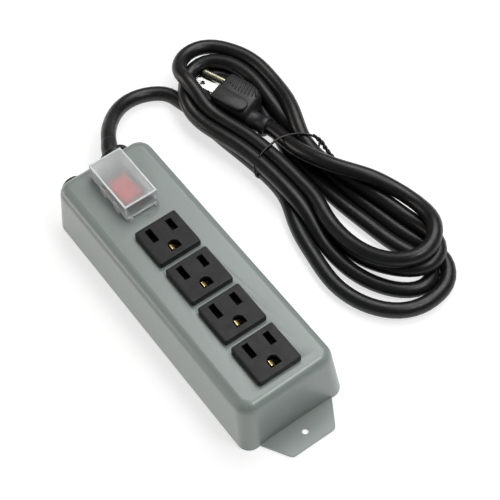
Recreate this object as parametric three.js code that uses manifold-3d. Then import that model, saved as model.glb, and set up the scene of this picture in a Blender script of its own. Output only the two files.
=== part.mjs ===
// Four-outlet steel power strip with a guarded rocker switch, a push-to-reset circuit breaker
// and a cord folded into a tied hank.  Millimetres, +Z up.  +X runs along the housing from the
// cord end to the far mounting tab, +Y points to the side where the hank lies, and the origin is
// the middle of the housing's footprint on the surface that it stands on.
import * as THREE from "three";
import * as BufferGeometryUtils from "three/addons/utils/BufferGeometryUtils.js";
import Module from "manifold-3d";

const wasm = await Module();
wasm.setup();

// ---------------------------------------------------------------- driving dimensions
const GAP = 0.3;                 // clearance between touching pieces
const HOUSING = { length: 187.2, width: 64.4, height: 36, wall: 1.2, draft: 4.5, corner: 7, edge: 6 };
const BASE = { thick: 1.5, inset: 2.2, tabLength: 15.8, tabRoot: 46.4, tabTip: 27.6, tipCorner: 2 };
const TAB_HOLE = { radius: 1.8, fromEnd: 8.1 };
const OUTLET = { sizeX: 25.9, sizeY: 26.2, proud: 4, slotGap: 12.7, groundFromSlots: 11.9, slotsFromEdge: 7.36 };
const SLOT_LINES = [-25.9, 4.1, 34.1, 64.1];      // X of the blade slots of each outlet
const SLOT = { width: 3.6, neutral: 9.4, line: 8 };
const GROUND_HOLE = { radius: 3.3, flat: 3.1 };
const OUTLET_BODY = { sizeX: 22.4, sizeY: 22.6, bottom: 17 };
const BAR = { z: 13.4, thick: 1, width: 4.6 };
const SWITCH = { x: -61.6, bezelX: 24, bezelY: 17, bezelHigh: 2, bodyX: 21, bodyY: 14, bottom: 16 };
const ROCKER = { halfX: 9, halfY: 5.5, tilt: 9, pivotZ: 36.4, trunnion: 1.5 };
const GUARD = { x: -63.3, length: 37.4, width: 21, height: 11.5, wall: 1.1 };
const BREAKER = { y: -18, z: 23.3, buttonR: 3.2, bushingR: 4.5, nutR: 6.3, travel: 2.5 };
const GLAND = { y: 11.5, z: 21.7, flangeR: 10.2, flangeThick: 4.4, boreR: 4.9, innerR: 8.6 };
const CORD = { radius: 4.5, sides: 10 };
const PLUG = { x: -92.8, y: 99.5, z: 10.4, heading: 199.5, bladeThick: 1.5, bladeWide: 6.35, bladeLong: 16 };
const WIRE_R = 1.3;

// The lead from the gland down to the surface and on to the hank.
const LEAD_ROUTE = [
  [-84, 11.5, 21.7], [-97, 11.5, 21.7], [-103.6, 13.4, 21.5], [-109.2, 16.2, 20.6],
  [-114.6, 19, 18.9], [-120, 22.4, 16.6], [-125.6, 26.8, 14], [-130.9, 32, 11.4],
  [-135.2, 37.8, 9.2], [-138, 43.6, 7.5], [-139.2, 49.2, 6.2], [-139, 54.6, 5.2],
  [-137.4, 59.9, 4.8], [-134.7, 64.6, 4.8], [-130.8, 69.3, 4.8], [-126.4, 73.2, 4.8],
];

// Outline of the folded hank, seen from above.
const HANK_OUTLINE = [
  [-137, 78], [-145, 86], [-148.5, 97], [-146, 109], [-138, 117.5], [-124, 123], [-105, 125.5],
  [-86, 124], [-66, 120.5], [-46, 115.8], [-30, 113.6], [-14, 118.6], [2, 128], [16, 134.5],
  [30, 138], [44, 137], [58, 132.5], [71, 125.5], [80, 117], [85, 105.5], [84.5, 92.5], [79.5, 80.5],
  [70, 70.5], [58, 64], [44, 61], [30, 61.3], [16, 64.5], [3, 69], [-12, 74.6], [-30, 76.4],
  [-50, 75.6], [-70, 71.6], [-90, 67.8], [-108, 67.8], [-124, 71],
];
const HANK = { height: 25, bevel: 3.5 };
const TIE = { x: -46.5, wide: 2.4, thick: 0.9, y0: 75, y1: 116.6, z1: 25.6 };
const GROUND_SCREW = { x: -80, y: -2 };

const deg = THREE.MathUtils.degToRad;
const HOUSING_END = HOUSING.length / 2;
const INNER_TOP = HOUSING.height - HOUSING.wall;

// ---------------------------------------------------------------- materials
function finish(color, roughness, metalness) {
  return () => new THREE.MeshStandardMaterial({ color, roughness, metalness });
}
const paint = finish(0x8b9692, 0.5, 0.15);
const blackPlastic = finish(0x38383a, 0.55, 0);
const glandPlastic = finish(0x0d0d0e, 0.45, 0);
const jacket = finish(0x151516, 0.5, 0);
const brass = finish(0xb8903f, 0.3, 1);
const nickel = finish(0xcfd0cc, 0.2, 1);
const zinc = finish(0xaab0b2, 0.35, 1);
const redPlastic = finish(0xc42a22, 0.35, 0);
const fibre = finish(0x4c4a45, 0.85, 0);
const whiteWire = finish(0xd9d8d2, 0.6, 0);
const greenWire = finish(0x2c7a41, 0.6, 0);
function clearPlastic() {
  const material = finish(0xdfe3e4, 0.3, 0)();
  material.transparent = true;
  material.opacity = 0.4;
  return material;
}

// ---------------------------------------------------------------- solids
function solid(geometry) {
  const bare = geometry.index ? geometry.clone() : geometry;
  bare.deleteAttribute("normal");
  bare.deleteAttribute("uv");
  const merged = BufferGeometryUtils.mergeVertices(bare, 1e-4);
  const mesh = new wasm.Mesh({
    numProp: 3,
    vertProperties: new Float32Array(merged.attributes.position.array),
    triVerts: new Uint32Array(merged.index.array),
  });
  return new wasm.Manifold(mesh);
}

function geometryOf(manifold) {
  const mesh = manifold.getMesh();
  const geometry = new THREE.BufferGeometry();
  geometry.setAttribute("position", new THREE.BufferAttribute(mesh.vertProperties.slice(), 3));
  geometry.setIndex(new THREE.BufferAttribute(mesh.triVerts.slice(), 1));
  geometry.computeVertexNormals();
  return geometry;
}

function join(first, ...others) {
  return others.reduce((sum, other) => sum.add(other), first);
}

function cut(first, ...others) {
  return others.reduce((rest, other) => rest.subtract(other), first);
}

function box(x0, x1, y0, y1, z0, z1) {
  const geometry = new THREE.BoxGeometry(x1 - x0, y1 - y0, z1 - z0);
  geometry.translate((x0 + x1) / 2, (y0 + y1) / 2, (z0 + z1) / 2);
  return geometry;
}

function boxSolid(...limits) {
  return solid(box(...limits));
}

// A cylinder about a line through (u, v) that runs along one axis between two stations.
function rod(axis, u, v, from, to, radius, endRadius = radius, sides = 24) {
  const geometry = new THREE.CylinderGeometry(endRadius, radius, to - from, sides);
  const middle = (from + to) / 2;
  if (axis === "x") {
    geometry.rotateZ(-Math.PI / 2);
    geometry.translate(middle, u, v);
  } else if (axis === "y") {
    geometry.translate(u, middle, v);
  } else {
    geometry.rotateX(Math.PI / 2);
    geometry.translate(u, v, middle);
  }
  return geometry;
}

// A horizontal ring with round corners, counter-clockwise.
function roundRect(halfX, halfY, radius, z, steps) {
  const ring = [];
  const corners = [[1, -1, -90], [1, 1, 0], [-1, 1, 90], [-1, -1, 180]];
  for (const [signX, signY, start] of corners) {
    for (let i = 0; i <= steps; i += 1) {
      const angle = deg(start + (90 * i) / steps);
      const x = signX * (halfX - radius) + radius * Math.cos(angle);
      const y = signY * (halfY - radius) + radius * Math.sin(angle);
      ring.push([x, y, z]);
    }
  }
  return ring;
}

// A closed solid through rings of equal count, from the lowest ring to the highest.
function loft(rings) {
  const count = rings[0].length;
  const positions = rings.flat(2);
  const index = [];
  for (let level = 0; level < rings.length - 1; level += 1) {
    for (let i = 0; i < count; i += 1) {
      const a = level * count + i;
      const b = level * count + ((i + 1) % count);
      index.push(a, b, b + count, a, b + count, a + count);
    }
  }
  const top = (rings.length - 1) * count;
  for (let i = 1; i < count - 1; i += 1) {
    index.push(0, i + 1, i);
    index.push(top, top + i, top + i + 1);
  }
  const geometry = new THREE.BufferGeometry();
  geometry.setAttribute("position", new THREE.Float32BufferAttribute(positions, 3));
  geometry.setIndex(index);
  return geometry;
}

// A drafted tub upside down: walls lean in, and the top edge is a quarter round.
function tubRings(length, width, height, edge, corner, lowest) {
  const draft = deg(HOUSING.draft);
  const wallTop = height - edge + edge * Math.sin(draft);
  const wallInset = wallTop * Math.tan(draft);
  const centreInset = wallInset + edge * Math.cos(draft);
  const ring = (inset, radius, z) => roundRect(length / 2 - inset, width / 2 - inset, radius, z, 6);
  const rings = [ring(lowest * Math.tan(draft), corner, lowest), ring(wallInset, corner + 1.5, wallTop)];
  const steps = 5;
  for (let i = 1; i <= steps; i += 1) {
    const angle = draft + ((Math.PI / 2 - draft) * i) / steps;
    const inset = centreInset - edge * Math.cos(angle);
    rings.push(ring(inset, corner + 1.5 - (inset - wallInset), height - edge + edge * Math.sin(angle)));
  }
  return rings;
}

function extrude(points, depth) {
  const shape = new THREE.Shape(points.map(([x, y]) => new THREE.Vector2(x, y)));
  return new THREE.ExtrudeGeometry(shape, { depth, bevelEnabled: false, steps: 1 });
}

function tube(route, radius, sides, steps) {
  const curve = new THREE.CatmullRomCurve3(route.map((p) => new THREE.Vector3(...p)), false, "centripetal");
  const points = [];
  for (let i = 0; i < sides; i += 1) {
    const angle = (2 * Math.PI * i) / sides;
    points.push(new THREE.Vector2(radius * Math.cos(angle), radius * Math.sin(angle)));
  }
  const shape = new THREE.Shape(points);
  return new THREE.ExtrudeGeometry(shape, { steps, extrudePath: curve, bevelEnabled: false });
}

// ---------------------------------------------------------------- the scene graph
const group = new THREE.Group();
function add(name, geometry, material, parent = group) {
  const mesh = new THREE.Mesh(geometry, material());
  mesh.name = name;
  parent.add(mesh);
  return mesh;
}

// ---------------------------------------------------------------- housing and base
const outletCentres = SLOT_LINES.map((x) => x - OUTLET.slotsFromEdge + OUTLET.sizeX / 2);
const LUG = { x: 82, y: 24.4, z0: 1.8, thick: 1.4, reach: 12, width: 12 };
const lugPlaces = [[1, 1], [1, -1], [-1, 1], [-1, -1]];

function housingShell() {
  const { length, width, height, wall, edge, corner } = HOUSING;
  const outside = solid(loft(tubRings(length, width, height, edge, corner, 0)));
  const inside = solid(loft(tubRings(
    length - 2 * wall, width - 2 * wall, height - wall, edge - wall, corner - wall, -1)));
  const lugs = lugPlaces.map(([sx, sy]) => boxSolid(
    sx * LUG.x - LUG.reach / 2, sx * LUG.x + LUG.reach / 2,
    sy * (LUG.y + 1.3) - LUG.width / 2, sy * (LUG.y + 1.3) + LUG.width / 2, LUG.z0, LUG.z0 + LUG.thick));
  const shell = join(cut(outside, inside), ...lugs.map((lug) => lug.intersect(outside)));
  const holes = lugPlaces.map(([sx, sy]) => solid(rod("z", sx * LUG.x, sy * LUG.y, 0, 5, 1.9)));
  const outletHoles = outletCentres.map((x) => boxSolid(
    x - OUTLET_BODY.sizeX / 2 - GAP, x + OUTLET_BODY.sizeX / 2 + GAP,
    -OUTLET_BODY.sizeY / 2 - GAP, OUTLET_BODY.sizeY / 2 + GAP, height - 4, height + 1));
  const switchHole = boxSolid(
    SWITCH.x - SWITCH.bodyX / 2 - GAP, SWITCH.x + SWITCH.bodyX / 2 + GAP,
    -SWITCH.bodyY / 2 - GAP, SWITCH.bodyY / 2 + GAP, height - 4, height + 1);
  const glandHole = solid(rod("x", GLAND.y, GLAND.z, -100, -85, GLAND.innerR + GAP));
  const breakerHole = solid(rod("x", BREAKER.y, BREAKER.z, -100, -85, BREAKER.bushingR + GAP));
  const tabHalf = BASE.tabRoot / 2 + GAP;
  const tabNotches = [-1, 1].map((s) => boxSolid(
    s > 0 ? 85 : -100, s > 0 ? 100 : -85, -tabHalf, tabHalf, -1, BASE.thick + GAP));
  return cut(shell, ...holes, ...outletHoles, switchHole, glandHole, breakerHole, ...tabNotches);
}
add("housing_shell", geometryOf(housingShell()), paint);

function basePlate() {
  const halfX = HOUSING_END - BASE.inset;
  const halfY = HOUSING.width / 2 - BASE.inset;
  const tip = HOUSING_END + BASE.tabLength;
  const plate = solid(loft([0, BASE.thick].map((z) => roundRect(halfX, halfY, 5, z, 4))));
  const { tabRoot, tabTip, tipCorner } = BASE;
  const tabs = [1, -1].map((s) => {
    const shape = new THREE.Shape();
    shape.moveTo(halfX - 6, -tabRoot / 2);
    shape.lineTo(HOUSING_END, -tabRoot / 2);
    shape.lineTo(tip - tipCorner, -tabTip / 2 - tipCorner * 0.55);
    shape.quadraticCurveTo(tip, -tabTip / 2, tip, -tabTip / 2 + tipCorner);
    shape.lineTo(tip, tabTip / 2 - tipCorner);
    shape.quadraticCurveTo(tip, tabTip / 2, tip - tipCorner, tabTip / 2 + tipCorner * 0.55);
    shape.lineTo(HOUSING_END, tabRoot / 2);
    shape.lineTo(halfX - 6, tabRoot / 2);
    const geometry = new THREE.ExtrudeGeometry(shape, {
      depth: BASE.thick, bevelEnabled: false, curveSegments: 4 });
    if (s < 0) geometry.rotateZ(Math.PI);
    const hole = solid(rod("z", s * (tip - TAB_HOLE.fromEnd), 0, -1, 3, TAB_HOLE.radius));
    return solid(geometry).subtract(hole);
  });
  const screwHoles = lugPlaces.map(([sx, sy]) => join(
    solid(rod("z", sx * LUG.x, sy * LUG.y, -1, 3, 1.9)),
    solid(rod("z", sx * LUG.x, sy * LUG.y, -0.01, 1.45, 3.4, 1.9))));
  const groundHole = solid(rod("z", GROUND_SCREW.x, GROUND_SCREW.y, -1, 3, 1.9));
  return cut(join(plate, ...tabs), ...screwHoles, groundHole);
}
add("base_plate", geometryOf(basePlate()), paint);

// Countersunk screws hold the base plate to the housing's lugs.
lugPlaces.forEach(([sx, sy], i) => {
  const profile = [[0, 0.1], [2.9, 0.1], [1.55, 1.5], [1.55, 7], [0, 7]];
  const screw = new THREE.LatheGeometry(profile.map(([r, z]) => new THREE.Vector2(r, z)), 20);
  screw.rotateX(Math.PI / 2);
  screw.translate(sx * LUG.x, sy * LUG.y, 0);
  const slot = boxSolid(sx * LUG.x - 3, sx * LUG.x + 3, sy * LUG.y - 0.4, sy * LUG.y + 0.4, -1, 0.7);
  add(`base_screw_${i + 1}`, geometryOf(cut(solid(screw), slot)), zinc);
});

const INSULATOR = { x0: -44, x1: 88, halfY: 19, z0: 2.2, thick: 0.6 };
add("insulator_sheet", box(INSULATOR.x0, INSULATOR.x1, -INSULATOR.halfY, INSULATOR.halfY,
  INSULATOR.z0, INSULATOR.z0 + INSULATOR.thick), fibre);

// ---------------------------------------------------------------- outlets and bus bars
function outlet(slotX) {
  const centre = slotX - OUTLET.slotsFromEdge + OUTLET.sizeX / 2;
  const top = HOUSING.height + OUTLET.proud;
  const face = [[0, HOUSING.height + GAP], [0, top - 0.7], [0.2, top - 0.2], [0.7, top]].map(
    ([inset, z]) => roundRect(OUTLET.sizeX / 2 - inset, OUTLET.sizeY / 2 - inset, 1.1 - inset, z, 3)
      .map(([x, y, level]) => [x + centre, y, level]));
  const body = boxSolid(centre - OUTLET_BODY.sizeX / 2, centre + OUTLET_BODY.sizeX / 2,
    -OUTLET_BODY.sizeY / 2, OUTLET_BODY.sizeY / 2, OUTLET_BODY.bottom, HOUSING.height + 1);
  const roof = top - 3;
  const half = OUTLET.slotGap / 2;
  const cuts = [[-half, SLOT.neutral], [half, SLOT.line]].map(([y, long]) => join(
    boxSolid(slotX - long / 2, slotX + long / 2, y - SLOT.width / 2, y + SLOT.width / 2, roof - 1, top + 1),
    boxSolid(slotX - 4.8, slotX + 4.8, y - 2.4, y + 2.4, OUTLET_BODY.bottom - 1, roof)));
  const ground = slotX + OUTLET.groundFromSlots;
  const { radius, flat } = GROUND_HOLE;
  const arch = new THREE.Shape();
  arch.moveTo(ground, -radius);
  arch.lineTo(ground + flat, -radius);
  arch.lineTo(ground + flat, radius);
  arch.lineTo(ground, radius);
  arch.absarc(ground, 0, radius, Math.PI / 2, (3 * Math.PI) / 2, false);
  const archway = new THREE.ExtrudeGeometry(arch, { depth: 6, bevelEnabled: false, curveSegments: 10 });
  archway.translate(0, 0, roof - 1);
  const chamber = boxSolid(ground - 4.2, ground + 3.7, -3.7, 3.7, OUTLET_BODY.bottom - 1, roof);
  return cut(join(solid(loft(face)), body), ...cuts, solid(archway), chamber);
}
SLOT_LINES.forEach((x, i) => add(`outlet_${i + 1}`, geometryOf(outlet(x)), blackPlastic));

// One strip of brass along all four outlets, with a pair of leaves standing under each slot.
function bladeBar(y, from, to) {
  const strip = boxSolid(from, to, y - BAR.width / 2, y + BAR.width / 2, BAR.z, BAR.z + BAR.thick);
  const leaves = SLOT_LINES.flatMap((x) => [-1, 1].map((side) => {
    const inner = y + side * 0.9;
    const outer = y + side * 1.6;
    return boxSolid(x - 3.4, x + 3.4, Math.min(inner, outer), Math.max(inner, outer), BAR.z, 35.5);
  }));
  return join(strip, ...leaves);
}
function groundBar(from, to) {
  const strip = boxSolid(from, to, -BAR.width / 2, BAR.width / 2, BAR.z, BAR.z + BAR.thick);
  const clips = SLOT_LINES.map((x) => {
    const centre = x + OUTLET.groundFromSlots;
    const sleeve = solid(rod("z", centre, 0, BAR.z, 36, 3.2, 3.2, 20));
    const bore = solid(rod("z", centre, 0, BAR.z + 3, 37, 2.5, 2.5, 20));
    const split = boxSolid(centre - 4, centre + 4, -0.5, 0.5, BAR.z + 6, 37);
    return cut(sleeve, bore, split);
  });
  return join(strip, ...clips);
}
add("neutral_bus_bar", geometryOf(bladeBar(-OUTLET.slotGap / 2, -40, 70)), nickel);
add("line_bus_bar", geometryOf(bladeBar(OUTLET.slotGap / 2, -40, 70)), brass);
add("ground_bus_bar", geometryOf(groundBar(-36, 80)), brass);

// ---------------------------------------------------------------- switch, rocker and guard
function switchBody() {
  const { x, bezelX, bezelY, bezelHigh, bodyX, bodyY, bottom } = SWITCH;
  const top = HOUSING.height + GAP + bezelHigh;
  const bezel = [[0, HOUSING.height + GAP], [0, top - 0.8], [0.8, top]].map(([inset, z]) => roundRect(
    bezelX / 2 - inset, bezelY / 2 - inset, 2 - inset, z, 3).map(([px, py, pz]) => [px + x, py, pz]));
  const body = boxSolid(x - bodyX / 2, x + bodyX / 2, -bodyY / 2, bodyY / 2, bottom, HOUSING.height + 1);
  const well = boxSolid(x - ROCKER.halfX - GAP, x + ROCKER.halfX + GAP,
    -ROCKER.halfY - GAP, ROCKER.halfY + GAP, ROCKER.pivotZ - 6, top + 1);
  const bearing = solid(rod("y", x, ROCKER.pivotZ, -6.4, 6.4, ROCKER.trunnion + GAP));
  return cut(join(solid(loft(bezel)), body), well, bearing);
}
add("switch_body", geometryOf(switchBody()), blackPlastic);

// The rocker turns about a line along Y; at rest its end towards the outlets stands up.
const rockerFrame = new THREE.Group();
rockerFrame.position.set(SWITCH.x, 0, ROCKER.pivotZ);
rockerFrame.rotation.y = -deg(ROCKER.tilt);
group.add(rockerFrame);
function rocker() {
  const { halfX, halfY, trunnion } = ROCKER;
  const profile = [[-halfX, 0.3], [-6, -3.4], [6, -3.4], [halfX, 0.3], [halfX - 0.6, 3.6],
    [halfX - 1.3, 4.2], [0, 2.6], [-halfX + 1.3, 4.2], [-halfX + 0.6, 3.6]];
  const paddle = extrude(profile, 2 * halfY);
  paddle.rotateX(Math.PI / 2);
  paddle.translate(0, halfY, 0);
  const pins = solid(rod("y", 0, 0, -halfY - 0.6, halfY + 0.6, trunnion, trunnion, 20));
  return join(solid(paddle), pins);
}
add("rocker", geometryOf(rocker()), redPlastic, rockerFrame);

[["line_in", -8], ["line_out", 0], ["lamp_neutral", 8]].forEach(([name, dx]) => {
  const x = SWITCH.x + dx;
  add(`switch_terminal_${name}`, box(x - 0.4, x + 0.4, -3.2, 3.2, 8, SWITCH.bottom - GAP), nickel);
});

function guard() {
  const { x, length, width, height, wall } = GUARD;
  const bottom = HOUSING.height + GAP;
  const top = bottom + height;
  const shifted = (rings) => rings.map((ring) => ring.map(([px, py, pz]) => [px + x, py, pz]));
  const outside = solid(loft(shifted([[0, bottom], [0.2, top - 1], [0.5, top - 0.3], [1.2, top]].map(
    ([inset, z]) => roundRect(length / 2 - inset, width / 2 - inset, 1.6, z, 3)))));
  const inside = boxSolid(x - length / 2 + wall, x + length / 2 - wall,
    -width / 2 + wall, width / 2 - wall, bottom - 1, top - wall);
  const lugs = [-4.6, 9].flatMap((dx) => [-1, 1].map((side) => {
    const y0 = side * (width / 2 - 0.6);
    const y1 = side * (width / 2 + 1);
    return boxSolid(x + dx - 2.8, x + dx + 2.8, Math.min(y0, y1), Math.max(y0, y1), bottom, bottom + 5);
  }));
  const shell = cut(join(outside, ...lugs), inside);
  const feet = [-1, 1].map((side) => boxSolid(x + length / 2 - 0.4, x + length / 2 + 1.6,
    side * (width / 2 - 2.2) - 1.2, side * (width / 2 - 2.2) + 1.2, bottom, bottom + 1.6));
  return join(shell, ...feet);
}
add("switch_guard", geometryOf(guard()), clearPlastic);

// ---------------------------------------------------------------- breaker with its reset button
const END_WALL = -HOUSING_END + BREAKER.z * Math.tan(deg(HOUSING.draft));
const BREAKER_FACE = END_WALL + HOUSING.wall + 2.6;
function breakerBody() {
  const { y, z, bushingR, buttonR } = BREAKER;
  const body = boxSolid(BREAKER_FACE, BREAKER_FACE + 17, y - 6.2, y + 6.2, z - 8, z + 8);
  const bushing = solid(rod("x", y, z, END_WALL - 3.4, BREAKER_FACE + 1, bushingR));
  const bore = solid(rod("x", y, z, END_WALL - 6, BREAKER_FACE + 6, buttonR + GAP));
  return cut(join(body, bushing), bore);
}
add("breaker_body", geometryOf(breakerBody()), blackPlastic);

const NUT = { from: END_WALL - 2.8, to: END_WALL - 0.8 };
function breakerNut() {
  const ring = solid(rod("x", BREAKER.y, BREAKER.z, NUT.from, NUT.to, BREAKER.nutR));
  return cut(ring, solid(rod("x", BREAKER.y, BREAKER.z, NUT.from - 1, NUT.to + 1, BREAKER.bushingR + GAP)));
}
add("breaker_nut", geometryOf(breakerNut()), glandPlastic);

function resetButton() {
  const { y, z, buttonR } = BREAKER;
  const tip = END_WALL - 5.4;
  const stem = solid(rod("x", y, z, tip + 0.8, BREAKER_FACE + 3, buttonR));
  const crown = solid(rod("x", y, z, tip, tip + 0.8, buttonR - 0.8, buttonR));
  return join(stem, crown);
}
add("reset_button", geometryOf(resetButton()), glandPlastic);

[-1, 1].forEach((side, i) => {
  const y = BREAKER.y + side * 3.4;
  const back = BREAKER_FACE + 17 + GAP;
  add(`breaker_terminal_${i + 1}`, box(back, back + 7, y - 0.4, y + 0.4, BREAKER.z - 3, BREAKER.z + 3), nickel);
});

// ---------------------------------------------------------------- gland, cord, hank, tie and plug
const GLAND_WALL = -HOUSING_END + GLAND.z * Math.tan(deg(HOUSING.draft));
function gland() {
  const { y, z, flangeR, flangeThick, boreR, innerR } = GLAND;
  const flangeBack = GLAND_WALL - 1.1;
  const flangeFront = flangeBack - flangeThick;
  const parts = [
    rod("x", y, z, flangeFront + 0.8, flangeBack, flangeR, flangeR, 32),
    rod("x", y, z, flangeFront, flangeFront + 0.8, flangeR - 0.9, flangeR, 32),
    rod("x", y, z, flangeBack - 0.5, GLAND_WALL + 8, innerR, innerR - 0.4, 32),
  ].map((geometry) => solid(geometry));
  const bore = solid(rod("x", y, z, flangeFront - 1, GLAND_WALL + 9, boreR, boreR, 32));
  return cut(join(...parts), bore);
}
add("strain_relief", geometryOf(gland()), glandPlastic);

const lead = tube(LEAD_ROUTE, CORD.radius, CORD.sides, 30);
add("power_cord", lead, jacket);

// The plug lies on its side inside the hank's loop, its prongs away from the cord.
const plugFrame = new THREE.Group();
plugFrame.position.set(PLUG.x, PLUG.y, PLUG.z);
plugFrame.rotation.z = deg(PLUG.heading);
group.add(plugFrame);
plugFrame.updateMatrixWorld(true);
const PLUG_BODY = { front: 14, rear: -10, side: 10.2, blades: 14, ground: 10, neckY: 8.5, neckLong: 15 };

// Local +X points along the prongs, +Z separates the two blades, and -Y leads to the ground pin.
function plugBody() {
  const { front, rear, side, blades, ground, neckY, neckLong } = PLUG_BODY;
  const block = [[0, front], [0, front - 14], [2.6, rear]].map(([inset, x]) => {
    const ring = roundRect((blades + ground) / 2 - inset, side - inset, 4, 0, 3);
    return ring.map(([u, v]) => [x, u + (blades - ground) / 2, v]);
  }).reverse();
  const neck = rod("x", neckY, 0, rear - neckLong, rear + 1, 5.6, 6, 20);
  return join(solid(loft(block)), solid(neck));
}
const BLADE_Y = 5.6;
const bladeRoot = PLUG_BODY.front - 2;
const plugSolid = plugBody();
const socket = (y, z, halfY, halfZ) => boxSolid(
  bladeRoot - GAP, PLUG_BODY.front + 1, y - halfY - GAP, y + halfY + GAP, z - halfZ - GAP, z + halfZ + GAP);
const bladeZ = OUTLET.slotGap / 2;
const pinY = BLADE_Y - OUTLET.groundFromSlots;
const halfWide = PLUG.bladeWide / 2;
const halfThick = PLUG.bladeThick / 2;
const sockets = [-1, 1].map((side) => socket(BLADE_Y, side * bladeZ, halfWide, halfThick));
const pinSocket = solid(rod("x", pinY, 0, bladeRoot - GAP, PLUG_BODY.front + 1, 2.4 + GAP, 2.4 + GAP, 20));
add("plug_body", geometryOf(cut(plugSolid, ...sockets, pinSocket)), jacket, plugFrame);

[["plug_blade_line", 1], ["plug_blade_neutral", -1]].forEach(([name, side]) => {
  const tip = PLUG_BODY.front + PLUG.bladeLong;
  const outline = [[bladeRoot, -halfWide], [tip - 1.6, -halfWide], [tip, -halfWide + 1.6],
    [tip, halfWide - 1.6], [tip - 1.6, halfWide], [bladeRoot, halfWide]];
  const blade = extrude(outline, PLUG.bladeThick);
  blade.translate(0, BLADE_Y, side * bladeZ - halfThick);
  add(name, blade, nickel, plugFrame);
});

function groundPin() {
  const tip = PLUG_BODY.front + 20.5;
  const profile = [[0, bladeRoot], [2.4, bladeRoot], [2.4, tip - 2.4], [2.1, tip - 1.2], [1.2, tip - 0.3], [0, tip]];
  const pin = new THREE.LatheGeometry(profile.map(([r, x]) => new THREE.Vector2(r, x)), 16);
  pin.rotateZ(-Math.PI / 2);
  pin.translate(0, pinY, 0);
  return pin;
}
add("plug_ground_pin", groundPin(), brass, plugFrame);

// The folded runs of cord, as one solid of their outer shape, with room for the plug, for the
// lead's end and for the tie.
function plugRoom() {
  const rooms = [
    box(PLUG_BODY.rear - PLUG_BODY.neckLong - GAP, PLUG_BODY.front + 2, -10.8, 14.8, -30, 30),
    box(PLUG_BODY.front, PLUG_BODY.front + 21.5, -9.6, 9.8, -30, 30),
  ];
  return join(...rooms.map((room) => solid(room.applyMatrix4(plugFrame.matrixWorld))));
}

function tieRing(grow) {
  const { x, wide, thick, y0, y1, z1 } = TIE;
  const ring = (inset, from, to) => {
    const outline = roundRect((y1 - y0) / 2 - inset, (z1 - GAP) / 2 - inset, 5 - inset, 0, 4);
    return solid(loft([from, to].map((station) => outline.map(
      ([u, v]) => [station, u + (y0 + y1) / 2, v + (z1 + GAP) / 2]))));
  };
  const outer = ring(-grow, x - wide / 2 - grow, x + wide / 2 + grow);
  return cut(outer, ring(thick + grow, x - wide, x + wide));
}

function hank() {
  const { height, bevel } = HANK;
  const curve = new THREE.CatmullRomCurve3(HANK_OUTLINE.map(([x, y]) => new THREE.Vector3(x, y, 0)), true);
  const outline = curve.getPoints(70).slice(0, -1);
  const shape = new THREE.Shape(outline.map((p) => new THREE.Vector2(p.x, p.y)));
  const geometry = new THREE.ExtrudeGeometry(shape, {
    depth: height - 2 * bevel, bevelThickness: bevel, bevelSize: bevel, bevelOffset: -bevel, bevelSegments: 2 });
  geometry.translate(0, 0, bevel);
  const leadEnd = [...LEAD_ROUTE, [-126, 73.6, 4.8]];
  const leadRoom = solid(tube(leadEnd, CORD.radius + GAP, CORD.sides, 31));
  return cut(solid(geometry), plugRoom(), leadRoom, tieRing(GAP));
}
add("cord_hank", geometryOf(hank()), jacket);
add("twist_tie", geometryOf(tieRing(0)), jacket);

// ---------------------------------------------------------------- ground screw and inner wires
const groundScrew = new THREE.LatheGeometry(
  [[0, 0.4], [1.6, 0.4], [1.6, 3.8], [3.6, 3.8], [3.6, 5.4], [2.6, 6.4], [0, 6.4]].map(
    ([r, z]) => new THREE.Vector2(r, z)), 20);
groundScrew.rotateX(Math.PI / 2);
groundScrew.translate(GROUND_SCREW.x, GROUND_SCREW.y, 0);
add("ground_screw", groundScrew, greenWire);

const WIRES = {
  wire_line_in: [jacket, [[-83.2, 9.8, 22.8], [-79, 8, 22.8], [-76, 3, 22.8], [-75.5, -4, 22.8],
    [-72.6, -9.4, 22.8], [-68.6, -11, 23], [-67, -13.4, 23.3]]],
  wire_breaker_to_switch: [jacket, [[-62.6, -21.4, 23.3], [-58.6, -21.2, 21.5], [-57.6, -19, 16],
    [-61, -15, 11.5], [-66, -10, 10.5], [-69.2, -7, 10.8], [-69.6, -3.6, 11]]],
  wire_switch_to_bar: [jacket, [[-61.6, 3.6, 11], [-60.5, 7.5, 11.2], [-55, 9, 12.5], [-47, 7.5, 13.7],
    [-40.4, 6.35, 13.9]]],
  wire_neutral: [whiteWire, [[-83.2, 13.2, 22.8], [-79, 15, 21.5], [-72, 17, 15], [-64, 16, 8],
    [-56, 10, 5.5], [-50, 1, 5.5], [-46.5, -4, 9], [-44, -6.2, 13], [-40.4, -6.35, 13.9]]],
  wire_lamp_neutral: [whiteWire, [[-53.6, -3.6, 11], [-52.5, -7.5, 12], [-48.5, -10.5, 15], [-42.5, -9.8, 18],
    [-38.6, -7.6, 17.6], [-38, -6.35, 15]]],
  wire_ground_in: [greenWire, [[-83.2, 11.5, 19.9], [-80.6, 11.6, 18.6], [-79.4, 10.5, 13], [-80, 7, 7.5],
    [-80, 2, 5.2]]],
  wire_ground_out: [greenWire, [[-75.6, -2, 5.2], [-72, -5, 5.2], [-64, -10.5, 5.2], [-54, -13, 5.2],
    [-46, -11, 5.2], [-39, -6.5, 5.2], [-35, -1.6, 6], [-34, 0, 9], [-34, 0, 13.05]]],
};
for (const [name, [material, route]] of Object.entries(WIRES)) {
  add(name, tube(route, WIRE_R, 8, 16), material);
}

export default group;
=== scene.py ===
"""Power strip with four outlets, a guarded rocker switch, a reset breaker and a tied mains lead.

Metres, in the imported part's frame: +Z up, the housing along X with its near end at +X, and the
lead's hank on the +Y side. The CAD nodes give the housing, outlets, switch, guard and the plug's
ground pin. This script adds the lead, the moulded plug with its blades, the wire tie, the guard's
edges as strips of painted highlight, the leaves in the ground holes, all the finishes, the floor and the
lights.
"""

import math

import bmesh
import bpy
import numpy as np
from mathutils import Matrix, Quaternion, Vector


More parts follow.
